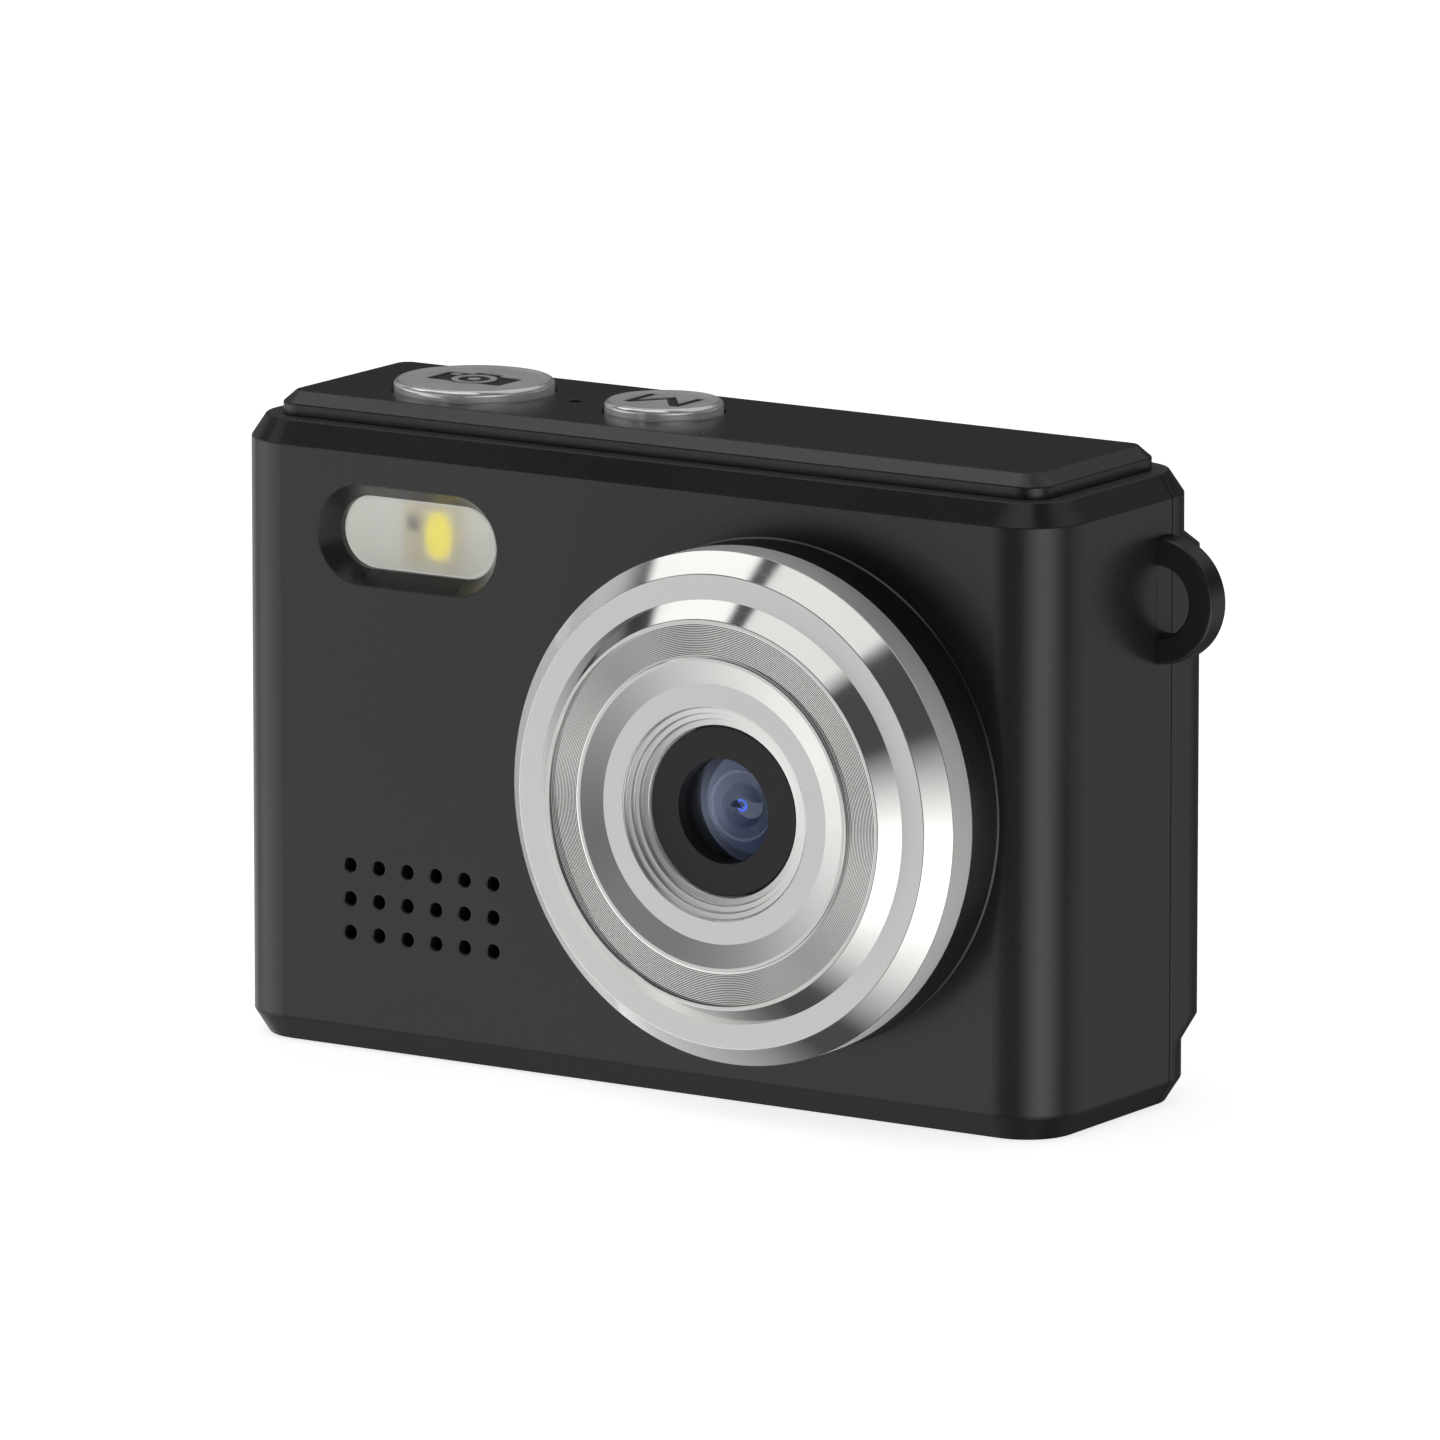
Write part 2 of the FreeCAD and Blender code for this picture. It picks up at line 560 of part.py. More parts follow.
def speaker_gasket():
    pad = pane(SPEAKER_X, SPEAKER_Z, 20.0, 10.0, 1.5, -10.55, -9.9)
    return pad.cut(pane(SPEAKER_X, SPEAKER_Z, 17.2, 7.6, 1.0, -11, -9))


def speaker_diaphragm():
    sheet = pane(SPEAKER_X, SPEAKER_Z, 17.4, 7.6, 1.1, -8.9, -8.65)
    dome = pane(SPEAKER_X, SPEAKER_Z, 11.0, 4.4, 2.1, -9.3, -8.8)
    return joined(sheet, dome)


def microphone_boot():
    boot = tube(2.5, MIC_R, (MIC_X, 0, 47.75), (0, 0, 1), CAP_UNDER_Z - 47.8)
    return boot.cut(box(MIC_X - 1.5, MIC_X + 1.5, -2, 2, 47, 48.9))


# ---- electronics --------------------------------------------------------
def main_board():
    board = box(-36.5, 36.5, BOARD_Y, BOARD_BACK, 5.6, 46.4)
    for x, z in BOARD_POSTS:
        board = board.cut(rod(0.95, (x, 0, z), (0, 1, 0), 3))
    return board


def board_screws():
    main = [joined(rod(0.7, (x, BOARD_BACK - 4.0, z), (0, 1, 0), 4.0),
                   rod(1.6, (x, BOARD_BACK, z), (0, 1, 0), 0.8)) for x, z in BOARD_POSTS]
    top = [joined(rod(0.7, (x, y, 46.9), (0, 0, 1), 4.0),
                  rod(1.6, (x, y, 46.1), (0, 0, 1), 0.8)) for x, y in BUTTON_POSTS]
    return Part.makeCompound(main + top)


def usb_socket():
    y = BOARD_BACK + 1.65
    shell = slab_x(-39.3, -32.0, y, USB_Z, 3.26, 8.94, 1.5)
    return shell.cut(slab_x(-40, -32.4, y, USB_Z, 2.6, 8.3, 1.2))


def card_socket():
    y = BOARD_BACK + 1.0
    case = box(-38.2, -24.0, BOARD_BACK + 0.02, y + 0.95, CARD_Z - 7, CARD_Z + 7)
    return case.cut(box(-39, -25.0, y - 0.5, y + 0.5, CARD_Z - 5.6, CARD_Z + 5.6))


def button_board():
    board = box(-31.0, 5.0, -7.0, 7.0, 46.9, 47.7)
    for x, y in BUTTON_POSTS:
        board = board.cut(rod(0.95, (x, y, 46), (0, 0, 1), 3))
    return board


def top_switches():
    housings = []
    for x in (SHUTTER_X, MODE_X):
        housing = box(x - 3, x + 3, -3, 3, 47.72, 50.5)
        housings.append(housing.cut(rod(STEM_R + 0.1, (x, 0, 48.6), (0, 0, 1), 3)))
    return Part.makeCompound(housings)


def switch_stem(x):
    return rod(STEM_R, (x, 0, 49.3), (0, 0, 1), STEM_TOP - 49.3)


def camera_glyph(x, floor):
    """Camera sign: body, hump and lens surround, with ring, dot and window left standing."""
    low, high = floor - GLYPH_DEPTH, floor + 1
    sign = joined(slab(x - 3.65, x + 3.65, -1.85, 1.85, 0.3, low, high),
                  slab(x - 1.3, x + 1.3, 1.5, 2.6, 0.2, low, high),
                  rod(2.3, (x, 0, low), (0, 0, 1), high - low))
    sign = sign.cut(tube(1.9, 1.35, (x, 0, low - 1), (0, 0, 1), 4))
    sign = sign.cut(rod(0.55, (x, 0, low - 1), (0, 0, 1), 4))
    return sign.cut(box(x - 2.95, x - 2.1, 0.85, 1.45, low - 1, high + 1))


def mode_glyph(x, floor):
    """Letter M that reads upright for the user behind the camera."""
    half = [(2.7, -2.1), (2.7, 2.1), (1.85, 2.1), (0, -0.4)]
    inside = [(0, -1.75), (1.95, 0.75), (1.95, -2.1)]
    outline = half + [(-a, b) for a, b in half[-2::-1]]
    outline += [(-a, b) for a, b in inside[::-1]] + inside[1:]
    corners = [V(x - a, -b, floor - GLYPH_DEPTH) for a, b in outline]
    return Part.Face(Part.makePolygon(corners + corners[:1])).extrude(V(0, 0, 1))


def top_button(x, radius, glyph):
    """Plated button: rounded crown with an engraved sign, retaining flange and a post."""
    top = CAP_TOP_Z + BUTTON_PROUD
    flange_top = CAP_UNDER_Z - 0.05
    crown = rod(radius, (x, 0, flange_top - 0.4), (0, 0, 1), top - flange_top + 0.4)
    crown = softened(crown, CROWN_R, lambda p: near(p.z, top))
    floor = top - 0.06
    crown = crown.cut(rod(radius - 0.8, (x, 0, floor), (0, 0, 1), 1))
    crown = crown.cut(glyph(x, floor))
    flange = rod(radius + 0.55, (x, 0, flange_top - 0.6), (0, 0, 1), 0.6)
    post = rod(1.5, (x, 0, STEM_TOP), (0, 0, 1), 1.2)
    return joined(crown, flange, post)


# ---- rear keys and display ----------------------------------------------
def rear_key(x, z):
    """Key cap with an engraved arrow that points away from the middle key, or a ring."""
    face = BAND_Y + KEY_PROUD
    crown = rod(KEY_R, (x, 12.4, z), (0, 1, 0), face - 12.4)
    crown = softened(crown, 0.3, lambda p: near(p.y, face))
    out_x, out_z = (x - KEY_X) / KEY_PITCH, (z - KEY_Z) / KEY_PITCH
    if near(out_x, 0) and near(out_z, 0):
        glyph = tube(1.2, 0.8, (x, face - GLYPH_DEPTH, z), (0, 1, 0), 1)
    else:
        tip = [(0.95, 0), (-0.65, 1.05), (-0.65, -1.05)]
        corners = [V(x + a * out_x - b * out_z, face - GLYPH_DEPTH, z + a * out_z + b * out_x)
                   for a, b in tip]
        glyph = Part.Face(Part.makePolygon(corners + corners[:1])).extrude(V(0, 1, 0))
    crown = crown.cut(glyph)
    flange = rod(KEY_R + 0.35, (x, 12.3, z), (0, 1, 0), INNER_BAND - 0.05 - 12.3)
    post = rod(1.0, (x, 10.7, z), (0, 1, 0), 1.8)
    return joined(crown, flange, post)


def key_domes():
    return Part.makeCompound([rod(2.4, (x, 10.0, z), (0, 1, 0), 0.3)
                              for x, z in key_places().values()])


def display_frame():
    frame = box(DISPLAY_X - PANEL_W / 2, DISPLAY_X + PANEL_W / 2, 10.4, 12.9,
                DISPLAY_Z - PANEL_H / 2, DISPLAY_Z + PANEL_H / 2)
    return frame.cut(box(DISPLAY_X - 24.4, DISPLAY_X + 24.4, 11.3, 13.5,
                         DISPLAY_Z - 16.9, DISPLAY_Z + 16.9))


def leads(x, y, z, run_x):
    return Part.makeCompound([lead((x, y, z + side * 0.9), run_x, BOARD_Y, 1.5)
                              for side in (-1, 1)])


def build():
    shell = case_outer().cut(case_inner())
    mouth = slab(-OPENING_X, OPENING_X, -OPENING_Y, OPENING_Y, 1.8, INNER_TOP - 1, SHOULDER_Z + 1)
    shell = shell.cut(mouth)
    holder_y = -2.9
    nodes = {
        "front_cover": front_cover(shell),
        "rear_cover": rear_cover(shell),
        "top_cover": top_cover(),
        "strap_lug": strap_lug(),
        "case_screws": case_screws(),
        "lens_sleeve": lens_sleeve(),
        "lens_trim_ring": lens_trim_ring(),
        "lens_front_disc": lens_front_disc(),
        "lens_barrel": lens_barrel(),
        "front_lens": lens_body(APERTURE_R, 6.35, 0.75, 5.15, 0.45),
        "aperture_ring": tube(3.55, 1.7, (LENS_X, FRONT_Y - 4.85, LENS_Z), (0, 1, 0), 0.5),
        "middle_lens": middle_lens(),
        "rear_lens": lens_body(3.55, -1.2, 0.5, -3.6, -0.5),
        "lens_holder": lens_holder(),
        "infrared_filter": box(LENS_X - 4, LENS_X + 4, -4.7, -4.35, LENS_Z - 4, LENS_Z + 4),
        "image_sensor": box(LENS_X - 4, LENS_X + 4, -3.8, holder_y, LENS_Z - 3.2, LENS_Z + 3.2),
        "sensor_board": box(LENS_X - 10, LENS_X + 10, holder_y, -1.9, LENS_Z - 10, LENS_Z + 10),
        "sensor_flex": ribbon([(22.0, -1.78), (26.5, -1.78), (28.0, 0.0), (28.0, 0.68), (31.5, 0.68)],
                              0.16, level(LENS_Z - 4.5), V(0, 0, 9)),
        "flash_window": flash_window(),
        "flash_reflector": flash_reflector(),
        "flash_led": box(LED_X - 3.5, LED_X + 1.5, -8.4, -7.25, FLASH_Z - 2.5, FLASH_Z + 2.5),
        "flash_phosphor": pane(LED_X, FLASH_Z, 2.7, 4.1, 0.3, -8.52, -8.4),
        "flash_diode": rod(0.55, (LED_X - 2.5, -8.52, FLASH_Z + 0.8), (0, 1, 0), 0.12),
        "flash_board": box(FLASH_X - 9, FLASH_X + 9, -7.25, -6.45, FLASH_Z - 4, FLASH_Z + 2.6),
        "flash_leads": leads(FLASH_X + 9, -6.85, FLASH_Z - 1.5, 3.0),
        "speaker_frame": speaker_frame(),
        "speaker_diaphragm": speaker_diaphragm(),
        "speaker_gasket": speaker_gasket(),
        "speaker_leads": leads(SPEAKER_X + 10, -7.6, 9.6, 3.0),
        "microphone": box(MIC_X - 1.4, MIC_X + 1.4, -1.8, 1.8, 47.72, 48.8),
        "microphone_boot": microphone_boot(),
        "battery": pane(-21.2, 28.4, 30.0, 19.6, 1.5, -10.1, -2.5),
        "battery_leads": leads(-6.2, -3.6, 34.0, 3.0),
        "display_window": softened(
            pane(DISPLAY_X, DISPLAY_Z, DISPLAY_W, DISPLAY_H, 1.5, BAND_Y - 1.05, BAND_Y - 0.05),
            LIP_R, lambda p: near(p.y, BAND_Y - 0.05)),
        "display_panel": box(DISPLAY_X - 24.3, DISPLAY_X + 24.3, 11.4, 12.85,
                             DISPLAY_Z - 16.8, DISPLAY_Z + 16.8),
        "display_frame": display_frame(),
        "display_flex": ribbon([(10.9, 8.1), (10.9, 7.0), (4.0, 7.0), (2.4, 8.6), (2.4, 11.0)],
                               0.16, across_x(4.0), V(10, 0, 0)),
        "main_board": main_board(),
        "processor_chip": box(-14.0, -2.0, BOARD_BACK, 3.0, 24.0, 36.0),
        "memory_chip": box(-12.0, -4.0, BOARD_BACK, 2.9, 11.0, 21.0),
        "flex_connectors": Part.makeCompound([
            box(3.0, 15.0, BOARD_BACK, 2.8, 11.1, 14.4),
            box(31.6, 35.0, 0.0, BOARD_Y, LENS_Z - 5, LENS_Z + 5),
        ]),
        "usb_socket": usb_socket(),
        "usb_tongue": box(-38.4, -32.4, BOARD_BACK + 1.3, BOARD_BACK + 2.0, USB_Z - 3.3, USB_Z + 3.3),
        "card_socket": card_socket(),
        "board_screws": board_screws(),
        "button_board": button_board(),
        "button_flex": ribbon([(3.4, 46.82), (3.4, 45.4), (2.2, 44.2), (2.2, 40.5)],
                              0.16, across_x(-10.0), V(6, 0, 0)),
        "top_switches": top_switches(),
        "shutter_button": top_button(SHUTTER_X, SHUTTER_R, camera_glyph),
        "shutter_stem": switch_stem(SHUTTER_X),
        "mode_button": top_button(MODE_X, MODE_R, mode_glyph),
        "mode_stem": switch_stem(MODE_X),
        "key_board": box(-36.8, -16.9, 9.2, 10.0, 14.0, 38.4),
        "key_domes": key_domes(),
        "key_flex": ribbon([(9.1, 17.0), (9.1, 12.6), (3.0, 10.6), (2.2, 9.6), (2.2, 7.0)],
                           0.16, across_x(-27.0), V(6, 0, 0)),
    }
    for name, (x, z) in key_places().items():
        nodes[name] = rear_key(x, z)
    return nodes


def main():
    os.makedirs("parts", exist_ok=True)
    nodes = build()
    for name, shape in nodes.items():
        sound = shape.isValid() and all(s.isClosed() for s in shape.Shells)
        print(f"{name:20s} solids {len(shape.Solids)} volume {shape.Volume:9.1f} sound {sound}")
        shape.exportStep(f"parts/{name}.step")
    print(len(nodes), "nodes")


main()
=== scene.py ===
"""Looks of a compact digital camera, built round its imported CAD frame.

Lengths are in metres. Seen from the front, +X is right; +Y points to the display and +Z up.
"""
import bpy
import json
import math
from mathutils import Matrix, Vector


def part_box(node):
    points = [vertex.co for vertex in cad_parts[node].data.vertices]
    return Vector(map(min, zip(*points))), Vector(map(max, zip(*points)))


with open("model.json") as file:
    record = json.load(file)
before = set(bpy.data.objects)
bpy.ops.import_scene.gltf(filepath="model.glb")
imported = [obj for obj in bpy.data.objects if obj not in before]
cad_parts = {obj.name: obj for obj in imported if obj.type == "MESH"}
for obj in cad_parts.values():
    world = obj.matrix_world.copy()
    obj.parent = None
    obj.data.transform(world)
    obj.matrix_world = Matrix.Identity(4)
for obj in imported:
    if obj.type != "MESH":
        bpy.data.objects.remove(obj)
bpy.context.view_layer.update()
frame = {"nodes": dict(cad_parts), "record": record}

MM = 0.001
scene = bpy.context.scene

# places read from the CAD frame
FRONT_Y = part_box("front_cover")[0].y
CAP_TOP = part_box("top_cover")[1].z
SLEEVE_LOW, SLEEVE_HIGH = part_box("lens_sleeve")
# where the lens axis meets the plane of the front face
LENS_CENTRE = ((SLEEVE_LOW.x + SLEEVE_HIGH.x) / 2, FRONT_Y, (SLEEVE_LOW.z + SLEEVE_HIGH.z) / 2)


def mm(*values):
    return tuple(value * MM for value in values)


def grey(value):
    return (value, value, value, 1)


def middle(node):
    """Middle of a CAD node's box."""
    low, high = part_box(node)
    return (low + high) / 2


# ---- camera -----------------------------------------------------------------
VIEW_AZIMUTH, VIEW_ELEVATION, VIEW_DISTANCE = 33.05, 11.21, 1.2638
VIEW_TARGET = (0.0, FRONT_Y + 0.0120, 0.0280)
SENSOR_WIDTH, FOCAL_LENGTH = 36, 385.4
SHIFT_X, SHIFT_Y = 0.0056, 0.0071


def add_camera():
    azimuth, elevation = math.radians(VIEW_AZIMUTH), math.radians(VIEW_ELEVATION)
    back = Vector((math.sin(azimuth) * math.cos(elevation),
                   -math.cos(azimuth) * math.cos(elevation), math.sin(elevation)))
    data = bpy.data.cameras.new("camera")
    data.sensor_width = SENSOR_WIDTH
    data.lens = FOCAL_LENGTH
    data.shift_x = SHIFT_X
    data.shift_y = SHIFT_Y
    data.clip_start = 0.05
    data.clip_end = 50
    camera = bpy.data.objects.new("camera", data)
    camera.location = Vector(VIEW_TARGET) + back * VIEW_DISTANCE
    camera.rotation_mode = "QUATERNION"
    camera.rotation_quaternion = (-back).to_track_quat("-Z", "Y")
    scene.collection.objects.link(camera)
    scene.camera = camera


# ---- node helpers -----------------------------------------------------------
class Nodes:
    """Thin wrapper that makes shader nodes and links them."""

    def __init__(self, tree):
        self.tree = tree
        tree.nodes.clear()

    def add(self, kind, settings=None, **inputs):
        node = self.tree.nodes.new("ShaderNode" + kind)
        for key, value in (settings or {}).items():
            setattr(node, key, value)
        self.fill(node, **inputs)
        return node

    def fill(self, node, **inputs):
        """Set sockets by name, with _ for a space."""
        for key, value in inputs.items():
            self.put(node, key.replace("_", " "), value)

    def put(self, node, socket, value):
        """Link or set one socket, given by name or by index."""
        target = node.inputs[socket]
        if isinstance(value, bpy.types.NodeSocket):
            self.tree.links.new(value, target)
        else:
            target.default_value = value

    def math(self, operation, a, b=0.0):
        node = self.add("Math", {"operation": operation})
        self.put(node, 0, a)
        self.put(node, 1, b)
        return node.outputs[0]

    def vector(self, operation, a, b=(0, 0, 0), output=0):
        node = self.add("VectorMath", {"operation": operation})
        self.put(node, 0, a)
        self.put(node, 1, b)
        return node.outputs[output]

    def noise(self, vector, scale, detail=3.0, rough=0.5):
        return self.add("TexNoise", Vector=vector, Scale=scale, Detail=detail,
                        Roughness=rough).outputs[0]

    def remap(self, value, low, high, to_low, to_high, smooth=False):
        kind = "SMOOTHSTEP" if smooth else "LINEAR"
        node = self.add("MapRange", {"interpolation_type": kind})
        for index, entry in enumerate((value, low, high, to_low, to_high)):
            self.put(node, index, entry)
        return node.outputs[0]

    def between(self, value, rise, fall, smooth=False):
        """0 below the rise, 1 from its end to the start of the fall, and 0 again above it."""
        return self.math("MULTIPLY", self.remap(value, *rise, 0, 1, smooth),
                         self.remap(value, *fall, 1, 0, smooth))

    def blend(self, share, a, b):
        """Mix of two colours."""
        node = self.add("Mix", {"data_type": "RGBA"})
        self.put(node, 0, share)
        self.put(node, 6, a)
        self.put(node, 7, b)
        return node.outputs[2]

    def bump(self, height, distance):
        return self.add("Bump", Height=height, Distance=distance, Strength=1.0).outputs[0]

    def place(self):
        """Object coordinates, which are the frame's own, in metres."""
        return self.add("TexCoord").outputs["Object"]

    def parts(self, vector):
        return self.add("SeparateXYZ", Vector=vector).outputs

    def join(self, **parts):
        return self.add("CombineXYZ", **parts).outputs[0]

    def length(self, **parts):
        return self.vector("LENGTH", self.join(**parts), output=1)

    def normal(self):
        return self.parts(self.add("NewGeometry").outputs["Normal"])

    def from_lens(self, place):
        """Offsets from the lens centre."""
        return self.parts(self.vector("SUBTRACT", place, LENS_CENTRE))


def material(name):
    made = bpy.data.materials.new(name)
    made.use_nodes = True
    nodes = Nodes(made.node_tree)
    shader = nodes.add("BsdfPrincipled")
    nodes.add("OutputMaterial", Surface=shader.outputs[0])
    return made, nodes, shader


# ---- plastics ---------------------------------------------------------------
def moulded(name, colour, rough, grain=0.000003, grain_scale=5200, tune=None, **extra):
    """Moulded plastic: faint tone drift, uneven gloss and a fine spark-eroded grain.

    tune is a function that changes the sockets further, given the tone made here.
    """
    made, n, shader = material(name)
    place = n.place()
    cloud = n.noise(place, 55, 4)
    fine = n.noise(place, 900)
    dark = tuple(part * 0.88 for part in colour) + (1,)
    light = tuple(min(part * 1.12, 1) for part in colour) + (1,)
    tone = n.blend(n.remap(cloud, 0.3, 0.7, 0, 1), dark, light)
    gloss = n.math("ADD", n.remap(cloud, 0.3, 0.7, rough - 0.03, rough + 0.03),
                   n.remap(fine, 0.3, 0.7, -0.015, 0.015))
    texture = n.noise(place, grain_scale, 2, 0.6)
    n.fill(shader, Base_Color=tone, Roughness=gloss, Normal=n.bump(texture, grain), **extra)
    if tune:
        tune(n, shader, tone)
    return made


def case_plastic():
    """Case plastic: duller chamfers, and a painted highlight, a lighter grey, on the upward ledge
    round the top cover.
    """
    foot_end = mm(2.0, 2.3)
    head_start, head_end = mm(50.2, 50.5), mm(52.2, 52.3)
    foot_dull, head_dull, painted_highlight_share = 0.34, 0.12, 0.8

    def tune(n, shader, tone):
        z = n.parts(n.place())[2]
        foot = n.remap(z, *foot_end, 1, 0)
        head = n.between(z, head_start, head_end)
        dull = n.math("ADD", n.math("MULTIPLY", foot, foot_dull),
                      n.math("MULTIPLY", head, head_dull))
        upward = n.remap(n.normal()[2], 0.95, 0.99, 0, 1)
        # painted highlight: the upward-facing ledge under the top cover is lightened towards grey
        # 0.09
        ledge = n.math("MULTIPLY", n.math("MULTIPLY", head, upward), painted_highlight_share)
        n.fill(shader, Specular_IOR_Level=n.math("SUBTRACT", 0.5, dull),
               Base_Color=n.blend(ledge, tone, grey(0.09)))

    return moulded("satin_black_case", (0.0135, 0.0135, 0.014), 0.26, IOR=1.6, tune=tune)


def key_plastic():
    """Key plastic with the engraved signs filled with pale paint."""
    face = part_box("key_ok")[1].y
    paint_start = (face - 0.22 * MM, face - 0.20 * MM)
    paint_end = (face - 0.12 * MM, face - 0.10 * MM)

    def tune(n, shader, tone):
        y = n.parts(n.place())[1]
        rearward = n.remap(n.normal()[1], 0.95, 0.99, 0, 1)
        paint = n.math("MULTIPLY", rearward, n.between(y, paint_start, paint_end))
        n.fill(shader, Base_Color=n.blend(paint, tone, grey(0.45)))

    return moulded("satin_black_keys", (0.013, 0.013, 0.0135), 0.33, tune=tune)


# ---- metals -----------------------------------------------------------------
def metal(name, colour, rough, streak=(400, 400, 400)):
    """Sheet metal with faint marks. streak is how fine they are along each axis."""
    made, n, shader = material(name)
    drawn = n.noise(n.vector("MULTIPLY", n.place(), streak), 12, 4, 0.65)
    dark = tuple(part * 0.93 for part in colour) + (1,)
    tone = n.blend(n.remap(drawn, 0.3, 0.7, 0, 1), dark, colour + (1,))
    gloss = n.remap(drawn, 0.25, 0.75, rough - 0.04, rough + 0.04)
    n.fill(shader, Base_Color=tone, Roughness=gloss, Metallic=1.0,
           Normal=n.bump(drawn, 0.000002))
    return made


def turned_aluminium():
    """Lathe-turned aluminium of the trim ring.

    The flats and the small steps in the middle are satin, the bevels and grooves polished,
    and the outer wall has a blast finish. On the left, the outer bevel carries a painted sheen,
    lighter and less metallic, and the inner bevel a painted shade, darker grey.
    """
    middle_radius = mm(12.6, 12.7)
    inner_bevel = mm(15.7, 15.9), mm(17.4, 17.5)
    outer_bevel = mm(19.3, 19.5)
    outer_left, inner_left = mm(-12, -6), mm(-9, -4)
    polished, satin_rough, wall_rough = 0.07, 0.40, 0.5

    made, n, shader = material("turned_aluminium")
    place = n.place()
    x, y, z = n.from_lens(place)
    radius = n.length(X=x, Z=z)
    marks = n.noise(n.join(X=radius, Y=y), 14000, 2, 0.6)
    cloud = n.noise(place, 160)

    facing = n.math("ABSOLUTE", n.normal()[1])
    flat = n.remap(facing, 0.985, 0.998, 0, 1, True)
    sloping = n.math("SUBTRACT", 1.0, flat)
    wall = n.remap(facing, 0.12, 0.3, 1, 0, True)
    centre = n.remap(radius, *middle_radius, 1, 0)
    satin = n.math("MAXIMUM", flat, n.math("MULTIPLY", centre, 0.9))
    # painted sheen: on the left the outer bevel is made lighter and less metallic
    rim = n.math("MULTIPLY", n.remap(radius, *outer_bevel, 0, 1), sloping)
    rim = n.math("MULTIPLY", rim, n.remap(x, *outer_left, 1, 0, True))
    # painted shade: on the left the inner bevel is darkened
    step = n.math("MULTIPLY", n.between(radius, *inner_bevel), sloping)
    step = n.math("MULTIPLY", step, n.remap(x, *inner_left, 0.8, 0, True))

    gloss = n.remap(satin, 0, 1, polished, satin_rough)
    gloss = n.math("ADD", gloss, n.math("MULTIPLY", wall, wall_rough))
    gloss = n.math("ADD", gloss, n.remap(marks, 0.3, 0.7, -0.02, 0.02))
    tone = n.blend(n.remap(cloud, 0.3, 0.7, 0, 1),
                   (0.84, 0.835, 0.825, 1), (0.88, 0.875, 0.865, 1))
    # painted sheen: the left outer bevel is lightened to near white
    tone = n.blend(rim, tone, (0.98, 0.975, 0.965, 1))
    tone = n.blend(n.math("MULTIPLY", flat, 0.8), tone, (0.97, 0.965, 0.955, 1))
    # painted shade: the left inner bevel is darkened towards grey 0.42
    tone = n.blend(step, tone, grey(0.42))
    blast_and_sheen = n.math("MAXIMUM", n.math("MULTIPLY", rim, 0.95), n.math("MULTIPLY", wall, 0.5))
    along = n.vector("NORMALIZE", n.join(X=z, Z=n.math("MULTIPLY", x, -1)))
    n.fill(shader, Base_Color=tone, Roughness=gloss, Tangent=along,
           Metallic=n.math("SUBTRACT", 1.0, blast_and_sheen),
           Anisotropic=n.remap(satin, 0, 1, 0.8, 0.0), Normal=n.bump(marks, 0.0000004))
    return made


def plated():
    """Plating of the top buttons: satin crown, polished rim with a faint painted glow, darker in
    the engraved sign.
    """
    shutter_x, mode_x = middle("shutter_button").x, middle("mode_button").x
    shutter_sign, mode_sign = mm(5.7, 4.0)
    sign_floor = (CAP_TOP + 0.76 * MM, CAP_TOP + 0.84 * MM)

    made, n, shader = material("plated_crown")
    place = n.place()
    x, y, z = n.parts(place)
    is_mode = n.math("GREATER_THAN", x, (shutter_x + mode_x) / 2)
    axis_x = n.remap(is_mode, 0, 1, shutter_x, mode_x)
    sign_edge = n.remap(axis_x, shutter_x, mode_x, shutter_sign, mode_sign)
    radius = n.length(X=n.math("SUBTRACT", x, axis_x), Y=y)
    marks = n.noise(n.join(X=radius), 9000, 2)
    cloud = n.noise(place, 500)

    top = n.remap(n.normal()[2], 0.97, 0.995, 0, 1, True)
    sunk = n.math("MULTIPLY", n.remap(z, *sign_floor, 1, 0),
                  n.math("LESS_THAN", radius, sign_edge))
    side = n.math("MULTIPLY", n.math("SUBTRACT", 1.0, top),
                  n.math("GREATER_THAN", radius, sign_edge))
    tone = n.blend(n.remap(cloud, 0.2, 0.8, 0, 1),
                   (0.84, 0.835, 0.825, 1), (0.92, 0.915, 0.905, 1))
    tone = n.blend(sunk, tone, grey(0.10))
    gloss = n.math("ADD", n.remap(side, 0, 1, 0.50, 0.12),
                   n.remap(cloud, 0.3, 0.7, -0.03, 0.03))
    # painted light: the rim and wall (side) glow faintly, emission 0.06
    n.fill(shader, Base_Color=tone, Roughness=gloss, Metallic=n.remap(side, 0, 1, 0.9, 0.8),
           Normal=n.bump(marks, 0.000001), Emission_Color=(1, 0.99, 0.98, 1),
           Emission_Strength=n.math("MULTIPLY", side, 0.06))
    return made


# ---- lens -------------------------------------------------------------------
def coated_glass():
    """Front element: painted reflection, a blue-grey specular tint that is bright at the upper
    left and dark towards the lower right.
    """
    made, n, shader = material("coated_glass")
    place = n.place()
    x, y, z = n.from_lens(place)
    dust = n.noise(place, 2500, 2)
    # painted reflection: the specular tint fades from light blue-grey at the upper left to dark
    # blue at the lower right
    across = n.remap(n.math("SUBTRACT", x, z), *mm(-3.5, 3.0), 0, 1, True)
    n.fill(shader, Base_Color=(0.85, 0.9, 1.0, 1), IOR=2.0, Transmission_Weight=1.0,
           Roughness=n.remap(dust, 0.5, 0.8, 0.02, 0.03),
           Specular_Tint=n.blend(across, (0.56, 0.68, 1.0, 1), (0.10, 0.14, 0.30, 1)))
    return made


